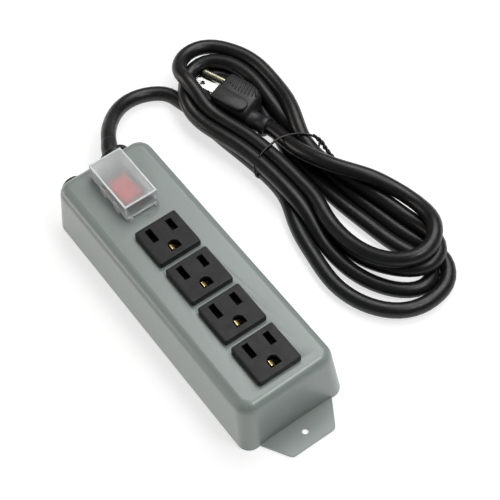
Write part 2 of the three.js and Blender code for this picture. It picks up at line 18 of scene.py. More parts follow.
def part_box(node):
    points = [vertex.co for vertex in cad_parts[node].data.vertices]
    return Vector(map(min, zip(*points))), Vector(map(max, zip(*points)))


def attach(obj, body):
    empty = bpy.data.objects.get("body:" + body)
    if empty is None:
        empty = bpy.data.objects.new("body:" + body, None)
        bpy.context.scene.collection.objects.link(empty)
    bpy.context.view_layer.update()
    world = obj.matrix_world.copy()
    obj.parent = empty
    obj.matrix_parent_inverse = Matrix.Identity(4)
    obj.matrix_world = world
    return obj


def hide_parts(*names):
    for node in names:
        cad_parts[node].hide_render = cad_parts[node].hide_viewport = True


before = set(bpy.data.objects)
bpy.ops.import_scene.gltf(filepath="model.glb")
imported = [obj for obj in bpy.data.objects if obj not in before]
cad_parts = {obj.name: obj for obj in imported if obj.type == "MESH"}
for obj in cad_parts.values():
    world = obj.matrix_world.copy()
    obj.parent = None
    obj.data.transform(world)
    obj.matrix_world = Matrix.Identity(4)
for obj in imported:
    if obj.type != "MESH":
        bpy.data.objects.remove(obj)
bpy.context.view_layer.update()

# ---------------------------------------------------------------- camera
CAMERA_PLACE = Vector((0.3944, -0.1972, 0.6890))
CAMERA_AIM = Vector((-0.0094, 0.0440, 0.0))
CAMERA_ROLL = math.radians(-5.79)
CAMERA_LENS = 106.5

camera = bpy.data.objects.new("camera", bpy.data.cameras.new("camera"))
camera.data.lens = CAMERA_LENS
camera.data.clip_start = 0.05
camera.data.clip_end = 20
camera.rotation_mode = "QUATERNION"
level_view = (CAMERA_AIM - CAMERA_PLACE).to_track_quat("-Z", "Y")
camera.rotation_quaternion = level_view @ Quaternion((0, 0, 1), CAMERA_ROLL)
camera.location = CAMERA_PLACE
bpy.context.scene.collection.objects.link(camera)
bpy.context.scene.camera = camera

# ---------------------------------------------------------------- the mains lead
LEAD_DIAMETER = 0.009
LEAD_STEP = 0.004

# From the gland down to the floor and up to the hank.
LEAD = [
    (-0.084, 0.0115, 0.0217), (-0.097, 0.0115, 0.0217), (-0.1036, 0.0134, 0.0215),
    (-0.1092, 0.0162, 0.0206), (-0.1146, 0.019, 0.0189), (-0.12, 0.0224, 0.0166),
    (-0.1256, 0.0268, 0.014), (-0.1309, 0.032, 0.0114), (-0.1352, 0.0378, 0.0092),
    (-0.138, 0.0436, 0.0075), (-0.1392, 0.0492, 0.0062), (-0.139, 0.0546, 0.0052),
    (-0.1372, 0.06, 0.0047), (-0.1344, 0.0648, 0.0045), (-0.1306, 0.0694, 0.0045),
]
# First run, on the near side.
RUN_1 = [
    (-0.1256, 0.0732, 0.0045), (-0.118, 0.0748, 0.0045), (-0.107, 0.0744, 0.0045),
    (-0.094, 0.0746, 0.0045), (-0.076, 0.0768, 0.0045), (-0.061, 0.0794, 0.0045),
    (-0.047, 0.0808, 0.0045), (-0.033, 0.0814, 0.0045), (-0.018, 0.0794, 0.0045),
]
# First turn, the outermost on the floor.
TURN_1 = [
    (-0.006, 0.0754, 0.0045), (0.007, 0.071, 0.0045), (0.023, 0.0676, 0.0045),
    (0.04, 0.066, 0.0045), (0.055, 0.069, 0.0045), (0.068, 0.076, 0.0045),
    (0.076, 0.0845, 0.0045), (0.08, 0.094, 0.0045), (0.08, 0.104, 0.0045),
    (0.077, 0.113, 0.0045), (0.07, 0.121, 0.0045), (0.06, 0.1244, 0.0045),
]
# Back on the far side, on the floor.
BACK_1 = [
    (0.049, 0.121, 0.0045), (0.034, 0.117, 0.0045), (0.018, 0.115, 0.0045),
    (0.004, 0.113, 0.0045), (-0.012, 0.1105, 0.0045), (-0.028, 0.1095, 0.0045),
    (-0.046, 0.11, 0.0045),
]
# First turn at the plug's end, lifted over the far side's runs.
FOLD_1 = [
    (-0.066, 0.1096, 0.0075), (-0.0805, 0.1124, 0.01), (-0.0956, 0.1142, 0.011),
    (-0.1094, 0.1134, 0.0114), (-0.1218, 0.109, 0.0114), (-0.1304, 0.1014, 0.011),
    (-0.1332, 0.0926, 0.01), (-0.1296, 0.084, 0.009),
]
# Second run, on top of the first and down to the floor.
RUN_2 = [
    (-0.1206, 0.0768, 0.0096), (-0.1074, 0.0718, 0.0112), (-0.093, 0.071, 0.0118),
    (-0.078, 0.074, 0.0126), (-0.062, 0.0778, 0.0132), (-0.046, 0.0798, 0.0134),
    (-0.031, 0.0806, 0.013), (-0.016, 0.0804, 0.0114), (-0.002, 0.08, 0.0086),
    (0.01, 0.0784, 0.0056), (0.022, 0.0776, 0.0045),
]
# Second turn, the innermost on the floor.
TURN_2 = [
    (0.034, 0.078, 0.0045), (0.046, 0.0806, 0.0045), (0.057, 0.0858, 0.0045),
    (0.066, 0.093, 0.0045), (0.0714, 0.1014, 0.0045), (0.0716, 0.1096, 0.0045),
    (0.0668, 0.115, 0.0045), (0.059, 0.116, 0.0045),
]
# Back on the far side, inside the first.
BACK_2 = [
    (0.0504, 0.1124, 0.0045), (0.041, 0.1088, 0.0045), (0.029, 0.107, 0.0045),
    (0.014, 0.105, 0.0045), (-0.004, 0.1034, 0.0045), (-0.021, 0.1016, 0.0045),
    (-0.034, 0.1008, 0.0045), (-0.047, 0.1006, 0.0045),
]
# Second turn at the plug's end, on the floor.
FOLD_2 = [
    (-0.064, 0.1044, 0.0045), (-0.08, 0.1092, 0.0045), (-0.094, 0.111, 0.0045),
    (-0.107, 0.1102, 0.0045), (-0.1186, 0.1066, 0.0045), (-0.126, 0.1, 0.0045),
    (-0.127, 0.0924, 0.0046), (-0.1208, 0.087, 0.0045),
]
# Third run, on the floor under the last run.
RUN_3 = [
    (-0.109, 0.085, 0.0045), (-0.094, 0.0848, 0.0045), (-0.078, 0.0858, 0.0045),
    (-0.062, 0.0876, 0.0045), (-0.046, 0.0888, 0.0045), (-0.028, 0.089, 0.0045),
    (-0.012, 0.0886, 0.0045), (0.004, 0.0874, 0.0045), (0.02, 0.0864, 0.0046),
]
# Third turn, rising over the first two.
TURN_3 = [
    (0.031, 0.087, 0.005), (0.042, 0.0902, 0.0066), (0.052, 0.095, 0.009),
    (0.061, 0.1014, 0.0116), (0.0664, 0.1092, 0.0128), (0.0656, 0.1174, 0.013),
    (0.06, 0.1234, 0.0124),
]
# Back on the far side, on top.
BACK_3 = [
    (0.05, 0.1248, 0.011), (0.041, 0.124, 0.0096), (0.028, 0.1214, 0.0094),
    (0.013, 0.118, 0.0096), (-0.001, 0.1146, 0.0104), (-0.016, 0.1108, 0.0114),
    (-0.03, 0.1082, 0.0124), (-0.042, 0.1086, 0.013),
]
# Third turn at the plug's end, the outermost, on top.
FOLD_3 = [
    (-0.052, 0.1112, 0.013), (-0.061, 0.1134, 0.0128), (-0.073, 0.1158, 0.0126),
    (-0.089, 0.1182, 0.0126), (-0.103, 0.1196, 0.013), (-0.116, 0.1188, 0.0134),
    (-0.127, 0.1156, 0.0136), (-0.1354, 0.1106, 0.0138), (-0.1406, 0.104, 0.014),
    (-0.142, 0.0962, 0.0146), (-0.14, 0.0886, 0.0156), (-0.1344, 0.082, 0.0168),
    (-0.1256, 0.0782, 0.0174),
]
# Last run, on top.
RUN_4 = [
    (-0.115, 0.0764, 0.0162), (-0.102, 0.0764, 0.0142), (-0.089, 0.079, 0.0134),
    (-0.077, 0.0824, 0.0134), (-0.065, 0.085, 0.0135), (-0.052, 0.087, 0.0134),
    (-0.039, 0.0882, 0.0135), (-0.025, 0.0886, 0.0135), (-0.01, 0.088, 0.0135),
    (0.006, 0.086, 0.0136), (0.021, 0.085, 0.0142),
]
# Last turn, on top of all.
TURN_4 = [
    (0.033, 0.086, 0.0152), (0.043, 0.0886, 0.0166), (0.0524, 0.0936, 0.0184),
    (0.0594, 0.1006, 0.02), (0.0624, 0.109, 0.0208), (0.0604, 0.1176, 0.0208),
    (0.0548, 0.1244, 0.02), (0.0466, 0.1286, 0.0186),
]
# Back over the far side to the tie.
BACK_4 = [
    (0.037, 0.1302, 0.017), (0.027, 0.13, 0.016), (0.0161, 0.1265, 0.0168),
    (0.0055, 0.1208, 0.0184), (-0.0071, 0.1126, 0.02), (-0.0189, 0.1066, 0.0202),
    (-0.0329, 0.1026, 0.0184), (-0.0465, 0.1006, 0.015),
]
# To the plug.
PLUG_END = [
    (-0.057, 0.1006, 0.0126), (-0.0664, 0.0998, 0.011), (-0.0756, 0.0966, 0.0105),
]

LEAD_ROUTE = (
    LEAD + RUN_1 + TURN_1 + BACK_1 + FOLD_1 + RUN_2 + TURN_2 + BACK_2 + FOLD_2
    + RUN_3 + TURN_3 + BACK_3 + FOLD_3 + RUN_4 + TURN_4 + BACK_4 + PLUG_END
)


def smooth_line(points, step):
    """A centripetal Catmull-Rom line through the points, cut into even steps."""
    cuts_per_span = 12
    p = np.array(points, float)
    p = np.vstack([2 * p[0] - p[1], p, 2 * p[-1] - p[-2]])
    fine = []
    for a, b, c, d in zip(p, p[1:], p[2:], p[3:]):
        t1 = np.linalg.norm(b - a) ** 0.5
        t2 = t1 + np.linalg.norm(c - b) ** 0.5
        t3 = t2 + np.linalg.norm(d - c) ** 0.5
        for t in np.linspace(t1, t2, cuts_per_span, endpoint=False):
            ab = (t1 - t) / t1 * a + t / t1 * b
            bc = ((t2 - t) * b + (t - t1) * c) / (t2 - t1)
            cd = ((t3 - t) * c + (t - t2) * d) / (t3 - t2)
            abc = (t2 - t) / t2 * ab + t / t2 * bc
            bcd = ((t3 - t) * bc + (t - t1) * cd) / (t3 - t1)
            fine.append(((t2 - t) * abc + (t - t1) * bcd) / (t2 - t1))
    fine.append(p[-2])
    fine = np.array(fine)
    along = np.r_[0, np.cumsum(np.linalg.norm(np.diff(fine, axis=0), axis=1))]
    stations = np.linspace(0, along[-1], round(along[-1] / step))
    return np.stack([np.interp(stations, along, fine[:, k]) for k in range(3)], axis=1)


def settle(line, diameter, step):
    """Pushes touching runs apart, keeps them near the laid route and on the floor."""
    rounds, push_share, home_pull = 160, 0.8, 0.015
    held_start, held_end = 0.06, 0.018
    own_run = 2.2 * diameter      # points nearer than this along the line never push each other
    p = line.copy()
    order = np.arange(len(p))
    separate = np.abs(np.subtract.outer(order, order)) * step > own_run
    free = np.ones((len(p), 1))
    free[: int(held_start / step)] = 0
    free[-int(held_end / step):] = 0
    for _ in range(rounds):
        offset = p[:, None] - p[None]
        distance = np.linalg.norm(offset, axis=2)
        touching = separate & (distance < diameter)
        gap = np.where(touching, (diameter - distance) / np.maximum(distance, 1e-9) / 2, 0)
        push = (gap[:, :, None] * offset).sum(1) / np.maximum(touching.sum(1), 1)[:, None]
        p += free * push * push_share
        stiff = np.zeros_like(p)
        stiff[2:-2] = -(p[:-4] - 4 * p[1:-3] + 6 * p[2:-2] - 4 * p[3:-1] + p[4:]) / 16
        p += free * stiff
        p += free * (line - p) * home_pull
        p[:, 2] = np.maximum(p[:, 2], diameter / 2)
    return p


def wire(name, points, radius, sides=6):
    """A round wire along the points, which carry its radius so that its bounds fit it."""
    curve = bpy.data.curves.new(name, "CURVE")
    curve.dimensions = "3D"
    curve.bevel_depth = 1
    curve.bevel_resolution = sides
    curve.use_fill_caps = True
    spline = curve.splines.new("POLY")
    spline.points.add(len(points) - 1)
    for target, point in zip(spline.points, points):
        target.co = (*point, 1)
        target.radius = radius
    spline.use_smooth = True
    piece = bpy.data.objects.new(name, curve)
    bpy.context.scene.collection.objects.link(piece)
    return piece


lead_line = settle(smooth_line(LEAD_ROUTE, LEAD_STEP), LEAD_DIAMETER, LEAD_STEP)
mains_lead = wire("mains_lead", lead_line, LEAD_DIAMETER / 2, sides=8)
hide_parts("power_cord", "cord_hank")
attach(mains_lead, "root")

# ---------------------------------------------------------------- mesh helpers


def mesh_piece(name, bm, body="root"):
    """A shaded mesh object from a bmesh, riding on a body."""
    bmesh.ops.recalc_face_normals(bm, faces=bm.faces)
    mesh = bpy.data.meshes.new(name)
    bm.to_mesh(mesh)
    bm.free()
    mesh.shade_smooth()
    piece = bpy.data.objects.new(name, mesh)
    bpy.context.scene.collection.objects.link(piece)
    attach(piece, body)
    return piece


def loft(bm, rings, capped=True):
    """Quads between rings of equal count, with n-gon ends."""
    loops = [[bm.verts.new(point) for point in ring] for ring in rings]
    for low, high in zip(loops, loops[1:]):
        for i in range(len(low)):
            j = (i + 1) % len(low)
            bm.faces.new((low[i], low[j], high[j], high[i]))
    if capped:
        bm.faces.new(loops[0])
        bm.faces.new(loops[-1])


def angles(count):
    """Even angles round a circle."""
    return [2 * math.pi * k / count for k in range(count)]


def add_bevel(piece, width):
    """Rounds the piece's hard edges."""
    bevel = piece.modifiers.new("edges", "BEVEL")
    bevel.width = width
    bevel.segments = 2
    bevel.limit_method = "ANGLE"
    bevel.angle_limit = math.radians(35)
    bevel.use_clamp_overlap = True


def crisp(piece, sharp_angle, width):
    """Keeps edges over the angle sharp in shading, and rounds them slightly."""
    piece.data.set_sharp_from_angle(angle=math.radians(sharp_angle))
    add_bevel(piece, width)


# ---------------------------------------------------------------- the sleeve at the lead's exit
SLEEVE_INSIDE = 0.0012         # how far the sleeve starts inside its bushing


def relief():
    """A short smooth sleeve where the lead leaves its bushing."""
    length, step, sides = 0.014, 0.0005, 40
    root_radius, tip_radius, tip_edge = 0.0056, 0.0046, 0.0004
    line = smooth_line(LEAD[:8], step)
    start_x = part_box("strain_relief")[0].x + SLEEVE_INSIDE
    begin = int(np.argmin(np.abs(line[:, 0] - start_x)))
    count = int(length / step)
    rings = []
    for k in range(count + 1):
        i = begin + k
        radius = root_radius + (tip_radius - root_radius) * k / count - (tip_edge if k == count else 0)
        tangent = Vector(line[i + 1] - line[i - 1]).normalized()
        across = tangent.cross(Vector((0, 0, 1))).normalized()
        over = tangent.cross(across)
        rings.append([
            Vector(line[i]) + radius * (math.cos(a) * across + math.sin(a) * over) for a in angles(sides)
        ])
    bm = bmesh.new()
    loft(bm, rings)
    return mesh_piece("lead_relief", bm)


lead_relief = relief()

# ---------------------------------------------------------------- the guard's edges, strips of painted highlight
def guard_highlight_edges():
    """Polished edges of the clear guard, drawn as thin strips whose near-white colour is a painted
    highlight: a rim, a foot and four corner posts.
    """
    inset, half, rounding = 0.0006, 0.0005, 0.0002
    lug, foot = 0.001, 0.0016      # how far these stick out past the guard's walls
    low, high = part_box("switch_guard")
    x0, x1 = low.x + inset, high.x - foot - inset
    y0, y1 = low.y + lug + inset, high.y - lug - inset
    corners = [(x0, y0, -1, -1), (x1, y0, 1, -1), (x1, y1, 1, 1), (x0, y1, -1, 1)]
    pieces = []
    for label, z in (("rim", high.z - inset), ("foot", low.z + inset)):
        bm = bmesh.new()
        rings = [
            [bm.verts.new((x + sx * out * half, y + sy * out * half, z + up * half))
             for out, up in ((1, -1), (-1, -1), (-1, 1), (1, 1))]
            for x, y, sx, sy in corners
        ]
        for near, far in zip(rings, rings[1:] + rings[:1]):
            for i in range(4):
                j = (i + 1) % 4
                bm.faces.new((near[i], near[j], far[j], far[i]))
        pieces.append(mesh_piece(f"guard_{label}", bm, "guard"))
    for k, (x, y, _, _) in enumerate(corners):
        bm = bmesh.new()
        loft(bm, [[(x - half, y - half, z), (x + half, y - half, z), (x + half, y + half, z),
                   (x - half, y + half, z)] for z in (low.z + inset, high.z - inset)])
        pieces.append(mesh_piece(f"guard_corner_highlight_{k + 1}", bm, "guard"))
    for piece in pieces:
        crisp(piece, 50, rounding)
    return pieces


# The guard's rim, foot and corner strips carry a painted highlight: near-white colour for the light that
# gathers at the edges.
guard_highlight_pieces = guard_highlight_edges()


# ---------------------------------------------------------------- contacts in the ground holes
def ground_contacts():
    """The brass leaf that shows at one side of each outlet's round hole."""
    from_outlet_edge = 0.01886
    depth, thick, half_x, rounding = 0.0015, 0.0006, 0.0018, 0.0002
    y_far, y_near = -0.0021, 0.0003
    pieces = []
    for k in range(1, 5):
        low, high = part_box(f"outlet_{k}")
        middle = low.x + from_outlet_edge
        top = high.z - depth
        profile = [
            (y_far, top - 2 * thick), (y_near, top - 3 * thick), (y_near, top - 2 * thick),
            ((y_far + y_near) / 2, top - thick / 2), (y_far, top),
        ]
        bm = bmesh.new()
        loft(bm, [[(x, y, z) for y, z in profile] for x in (middle - half_x, middle + half_x)])
        piece = mesh_piece(f"ground_contact_{k}", bm)
        crisp(piece, 50, rounding)
        pieces.append(piece)
    return pieces


contact_pieces = ground_contacts()

# ---------------------------------------------------------------- the moulded plug
# The plug's own frame: +X along its prongs, -Y towards the ground pin, +Z up.
PLUG_ORIGIN = (-0.0928, 0.0995, 0.0104)
PLUG_HEADING = math.radians(199.5)
PLUG_PLACE = Matrix.Translation(PLUG_ORIGIN) @ Matrix.Rotation(PLUG_HEADING, 4, "Z")
PLUG_HALF_HEIGHT = 0.0102
PANEL_SUNK = 0.002
BLADE_LINE = 0.0056
BLADE_SPACING = 0.0127


def oval(x, y_low, y_high, half_height, squareness, sides=40):
    """A squarish oval section of the plug at x."""
    ring = []
    middle, half = (y_low + y_high) / 2, (y_high - y_low) / 2
    for a in angles(sides):
        c, s = math.cos(a), math.sin(a)
        y = middle + half * math.copysign(abs(c) ** (2 / squareness), c)
        z = half_height * math.copysign(abs(s) ** (2 / squareness), s)
        ring.append(PLUG_PLACE @ Vector((x, y, z)))
    return ring


def plug_shell():
    """The moulded body: a flat front, a blunt near side, and a collared neck onto the lead."""
    # x, lowest y, highest y, half height, squareness
    sections = [
        (0.0140, -0.0088, 0.0128, 0.0090, 5.0),
        (0.0136, -0.0096, 0.0137, 0.0099, 5.0),
        (0.0126, -0.0099, 0.0139, 0.0102, 5.0),
        (0.0060, -0.0100, 0.0140, 0.0102, 4.6),
        (-0.0010, -0.0096, 0.0140, 0.0102, 4.4),
        (-0.0060, -0.0080, 0.0140, 0.0101, 4.2),
        (-0.0096, -0.0056, 0.0139, 0.0098, 4.2),
        (-0.0108, -0.0036, 0.0136, 0.0090, 3.6),
        (-0.0114, 0.0016, 0.0140, 0.0068, 2.6),
        (-0.0122, 0.0028, 0.0142, 0.0058, 2.0),
        (-0.0200, 0.0031, 0.0139, 0.0054, 2.0),
        (-0.0204, 0.0025, 0.0145, 0.0060, 2.0),
        (-0.0208, 0.0023, 0.0147, 0.0062, 2.0),
        (-0.0232, 0.0023, 0.0147, 0.0062, 2.0),
        (-0.0237, 0.0026, 0.0144, 0.0059, 2.0),
        (-0.0239, 0.0036, 0.0134, 0.0049, 2.0),
    ]
    bm = bmesh.new()
    loft(bm, [oval(*section) for section in sections])
    return mesh_piece("plug_moulding", bm)


def slab(bm, outline, low, high, edge):
    """A flat raised panel on the plug, with a rounded upper edge."""
    softness = 0.3
    centre = sum((Vector(p) for p in outline), Vector((0, 0))) / len(outline)
    rings = []
    for inset, z in ((0, low), (0, high - edge), (softness * edge, high - softness * edge), (edge, high)):
        ring = []
        for point in outline:
            to_centre = centre - Vector(point)
            flat = Vector(point) + to_centre.normalized() * inset
            ring.append(PLUG_PLACE @ Vector((flat.x, flat.y, z)))
        rings.append(ring)
    loft(bm, rings)


def tongue():
    """The raised U-shaped panel over the line blade."""
    front, turn, half_rear = 0.0139, -0.0050, 0.0046
    front_low, front_high, rear_middle = 0.0034, 0.0132, 0.0094
    proud, edge, steps = 0.0011, 0.0007, 18
    outline = [(front, front_low), (front, front_high)]
    for k in range(steps + 1):
        a = math.pi / 2 + math.pi * k / steps
        outline.append((turn + half_rear * math.cos(a), rear_middle + half_rear * math.sin(a)))
    bm = bmesh.new()
    slab(bm, outline, PLUG_HALF_HEIGHT - PANEL_SUNK, PLUG_HALF_HEIGHT + proud, edge)
    return mesh_piece("plug_tongue", bm)


def grip():
    """Ribs across an oval patch beside the tongue."""
    ribs, rib_sides, thick, lean = 9, 16, 0.00055, 0.0012
    middle_x, middle_y, half_x, half_y = 0.0008, -0.0028, 0.0104, 0.0046
    proud, edge = 0.0007, 0.0002
    bm = bmesh.new()
    for k in range(ribs):
        t = (k - (ribs - 1) / 2) / (ribs / 2)
        x = middle_x + t * half_x
        reach = half_y * math.sqrt(1 - t * t)
        outline = [
            (x + thick * math.cos(a) - lean * math.sin(a), middle_y + reach * math.sin(a))
            for a in angles(rib_sides)
        ]
        slab(bm, outline, PLUG_HALF_HEIGHT - PANEL_SUNK, PLUG_HALF_HEIGHT + proud, edge)
    return mesh_piece("plug_grip_ribs", bm)


plug_moulding = plug_shell()
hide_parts("plug_body")
plug_tongue = tongue()
plug_grip = grip()


def blade(name, node, side):
    """A flat blade with a hole near its chamfered tip."""
    root, tip, half_wide, half_thick = 0.012, 0.030, 0.003175, 0.00075
    chamfer, hole_radius, rounding = 0.0016, 0.0016, 0.00015
    hole_x = tip - 0.0048
    corners = [
        (tip, 0), (tip, half_wide - chamfer), (tip - chamfer, half_wide), (hole_x, half_wide),
        (root, half_wide), (root, 0), (root, -half_wide), (hole_x, -half_wide),
        (tip - chamfer, -half_wide), (tip, -half_wide + chamfer),
    ]
    headings = [math.atan2(y, x - hole_x) for x, y in corners]
    hole = [(hole_x + hole_radius * math.cos(a), hole_radius * math.sin(a)) for a in headings]
    middle = side * BLADE_SPACING / 2
    bm = bmesh.new()

    def ring(points, z):
        return [bm.verts.new(PLUG_PLACE @ Vector((x, y + BLADE_LINE, z))) for x, y in points]

    outer_low, outer_high = ring(corners, middle - half_thick), ring(corners, middle + half_thick)
    hole_low, hole_high = ring(hole, middle - half_thick), ring(hole, middle + half_thick)
    for i in range(len(corners)):
        j = (i + 1) % len(corners)
        bm.faces.new((outer_low[i], outer_low[j], outer_high[j], outer_high[i]))
        bm.faces.new((hole_low[j], hole_low[i], hole_high[i], hole_high[j]))
        bm.faces.new((outer_high[i], outer_high[j], hole_high[j], hole_high[i]))
        bm.faces.new((outer_low[j], outer_low[i], hole_low[i], hole_low[j]))
    piece = mesh_piece(name, bm)
    crisp(piece, 30, rounding)
    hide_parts(node)
    return piece


blade_line = blade("blade_line", "plug_blade_line", 1)
blade_neutral = blade("blade_neutral", "plug_blade_neutral", -1)

# ---------------------------------------------------------------- the wire tie
TIE_RADIUS = 0.0007
TIE_STEP = 0.001
TIE_END_STEP = 0.0004
TIE_TURNS = 3
TIE_LOOP = [
    (-0.0405, 0.1139, 0.0170), (-0.0440, 0.1110, 0.0186), (-0.0497, 0.1027, 0.0188),
    (-0.0512, 0.0960, 0.0190), (-0.0505, 0.0890, 0.0190), (-0.0490, 0.0820, 0.0186),
    (-0.0474, 0.0780, 0.0166), (-0.0468, 0.0746, 0.0130), (-0.0466, 0.0748, 0.0080),
    (-0.0462, 0.0765, 0.0030), (-0.0455, 0.0800, 0.0008), (-0.0440, 0.0950, 0.0008),
    (-0.0420, 0.1110, 0.0010), (-0.0408, 0.1155, 0.0040), (-0.0404, 0.1168, 0.0100),
    (-0.0405, 0.1150, 0.0160), (-0.0412, 0.1135, 0.0186),
]
TIE_TAIL = [
    (-0.0405, 0.1139, 0.0170), (-0.0380, 0.1160, 0.0140), (-0.0350, 0.1170, 0.0098),
    (-0.0315, 0.1180, 0.0062), (-0.0280, 0.1190, 0.0034),
]


def twisted(points, turns, spread):
    """Two lines wound round one, as the twisted ends of a wire tie are."""
    line = smooth_line(points, TIE_END_STEP)
    strands = []
    for phase in (0, math.pi):
        strand = []
        for i in range(1, len(line) - 1):
            tangent = Vector(line[i + 1] - line[i - 1]).normalized()
            across = tangent.orthogonal().normalized()
            over = tangent.cross(across)
            a = phase + 2 * math.pi * turns * i / len(line)
            strand.append(Vector(line[i]) + spread * (math.cos(a) * across + math.sin(a) * over))
        strands.append(strand)
    return strands


tie_loop = wire("tie_loop", smooth_line(TIE_LOOP, TIE_STEP), TIE_RADIUS, sides=4)
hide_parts("twist_tie")
tie_ends = [
    wire(f"tie_end_{k + 1}", strand, TIE_RADIUS, sides=4)
    for k, strand in enumerate(twisted(TIE_TAIL, TIE_TURNS, TIE_RADIUS))
]
for piece in (tie_loop, *tie_ends):
    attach(piece, "root")

# ---------------------------------------------------------------- finishes


class Nodes:
    """A short way to write one material's node graph."""

    def __init__(self, name):
        self.material = bpy.data.materials.new(name)
        self.material.use_nodes = True
        self.tree = self.material.node_tree
        self.surface = self.tree.nodes["Principled BSDF"]
        self.place = self.add("ShaderNodeTexCoord").outputs["Object"]

    def add(self, kind, **settings):
        node = self.tree.nodes.new(kind)
        for key, value in settings.items():
            setattr(node, key, value)
        return node

    def link(self, output, target):
        self.tree.links.new(output, target)

    def noise(self, scale, detail=3, roughness=0.6, stretch=None):
        """Noise over the piece; scale is in cycles a metre."""
        node = self.add("ShaderNodeTexNoise")
        node.inputs["Scale"].default_value = scale
        node.inputs["Detail"].default_value = detail
        node.inputs["Roughness"].default_value = roughness
        source = self.place
        if stretch:
            mapping = self.add("ShaderNodeMapping")
            mapping.inputs["Scale"].default_value = stretch
            self.link(self.place, mapping.inputs["Vector"])
            source = mapping.outputs["Vector"]
        self.link(source, node.inputs["Vector"])
        return node.outputs["Fac"]

    def spread(self, value, low, high, start=0.3, end=0.7):
        """Maps the value from start..end to low..high."""
        node = self.add("ShaderNodeMapRange")
        node.inputs["From Min"].default_value = start
        node.inputs["From Max"].default_value = end
        node.inputs["To Min"].default_value = low
        node.inputs["To Max"].default_value = high
        self.link(value, node.inputs["Value"])
        return node.outputs["Result"]

    def two_tone(self, value, first, second):
        """A colour between the two, by the value."""
        node = self.add("ShaderNodeMix", data_type="RGBA")
        node.inputs["A"].default_value = (*first, 1)
        node.inputs["B"].default_value = (*second, 1)
        self.link(value, node.inputs["Factor"])
        return node.outputs["Result"]

    def bump(self, heights, distance):
        """Adds height maps, each (socket, strength), as one bump on the surface."""
        normal = None
        for value, strength in heights:
            node = self.add("ShaderNodeBump")
            node.inputs["Strength"].default_value = strength
            node.inputs["Distance"].default_value = distance
            self.link(value, node.inputs["Height"])
            if normal:
                self.link(normal, node.inputs["Normal"])
            normal = node.outputs["Normal"]
        self.link(normal, self.surface.inputs["Normal"])

    def set(self, **values):
        """Sets inputs of the surface shader, with underscores for spaces in their names."""
        for key, value in values.items():
            self.surface.inputs[key.replace("_", " ")].default_value = value


def tone(color, factor):
    return tuple(channel * factor for channel in color)


def moulded(name, color, roughness, grain=2600, grain_strength=0.12, variation=0.18, specular=0.5):
    """Moulded plastic or rubber: a fine eggshell grain, soft mottling and uneven gloss."""
    coarser, softer = 9, 0.6
    m = Nodes(name)
    patches = m.spread(m.noise(90, 4), 0, 1)
    m.link(m.two_tone(patches, tone(color, 1 - variation), tone(color, 1 + variation)),
           m.surface.inputs["Base Color"])
    m.link(m.spread(m.noise(240, 5), roughness - 0.06, roughness + 0.08), m.surface.inputs["Roughness"])
    m.bump([(m.noise(grain, 2), grain_strength), (m.noise(grain / coarser, 3), grain_strength * softer)],
           0.0001)
    m.set(Specular_IOR_Level=specular)
    return m.material


def plated(name, color, roughness, brushed=(1, 14, 1), tarnish=0.2):
    """Rolled or drawn metal: fine lines along the stock and cloudy tarnish."""
    m = Nodes(name)
    lines = m.noise(900, 3, stretch=brushed)
    cloud = m.spread(m.noise(320, 4), 0, 1)
    m.link(m.two_tone(cloud, tone(color, 1 - tarnish), color), m.surface.inputs["Base Color"])
    m.link(m.spread(lines, roughness - 0.05, roughness + 0.12), m.surface.inputs["Roughness"])
    m.bump([(lines, 0.15)], 0.00005)
    m.set(Metallic=1.0)
    return m.material


def painted_steel():
    """Grey-green enamel: orange peel, faint speckle and a satin gloss."""
    color = (0.226, 0.262, 0.246)
    m = Nodes("grey_green_enamel")
    cloud = m.spread(m.noise(14, 3), 0, 1)
    base = m.two_tone(cloud, tone(color, 0.96), tone(color, 1.04))
    speck = m.spread(m.noise(2600, 2), 0, 0.16, 0.62, 0.75)
    mix = m.add("ShaderNodeMix", data_type="RGBA")
    mix.inputs["B"].default_value = (*tone(color, 0.7), 1)
    m.link(base, mix.inputs["A"])
    m.link(speck, mix.inputs["Factor"])
    m.link(mix.outputs["Result"], m.surface.inputs["Base Color"])
    m.link(m.spread(m.noise(500, 4), 0.36, 0.46), m.surface.inputs["Roughness"])
    m.bump([(m.noise(1500, 2), 0.10), (m.noise(380, 2), 0.08)], 0.0001)
    m.set(Specular_IOR_Level=0.6, Coat_Weight=0.4, Coat_Roughness=0.22)
    return m.material


def clear_guard():
    """Frosted clear plastic: the top scatters light, and the polished walls let it through."""
    m = Nodes("frosted_clear")
    m.link(m.spread(m.noise(700, 4), 0.40, 0.54), m.surface.inputs["Roughness"])
    m.link(m.two_tone(m.spread(m.noise(120, 4), 0, 1), (0.90, 0.92, 0.93), (0.98, 0.98, 0.98)),
           m.surface.inputs["Base Color"])
    m.bump([(m.noise(1800, 3), 0.25)], 0.0001)
    m.set(Transmission_Weight=0.80, IOR=1.25)
    clear = m.add("ShaderNodeBsdfTransparent")
    clear.inputs["Color"].default_value = (0.97, 0.98, 0.98, 1)
    facing = m.add("ShaderNodeSeparateXYZ")
    m.link(m.add("ShaderNodeTexCoord").outputs["Normal"], facing.inputs["Vector"])
    upward = m.add("ShaderNodeMath", operation="ABSOLUTE")
    m.link(facing.outputs["Z"], upward.inputs[0])
    mix = m.add("ShaderNodeMixShader")
    m.link(m.spread(upward.outputs["Value"], 0.50, 0.84), mix.inputs["Fac"])
    output = m.tree.nodes["Material Output"]
    m.link(clear.outputs["BSDF"], mix.inputs[1])
    m.link(m.surface.outputs["BSDF"], mix.inputs[2])
    m.link(mix.outputs["Shader"], output.inputs["Surface"])
    return m.material


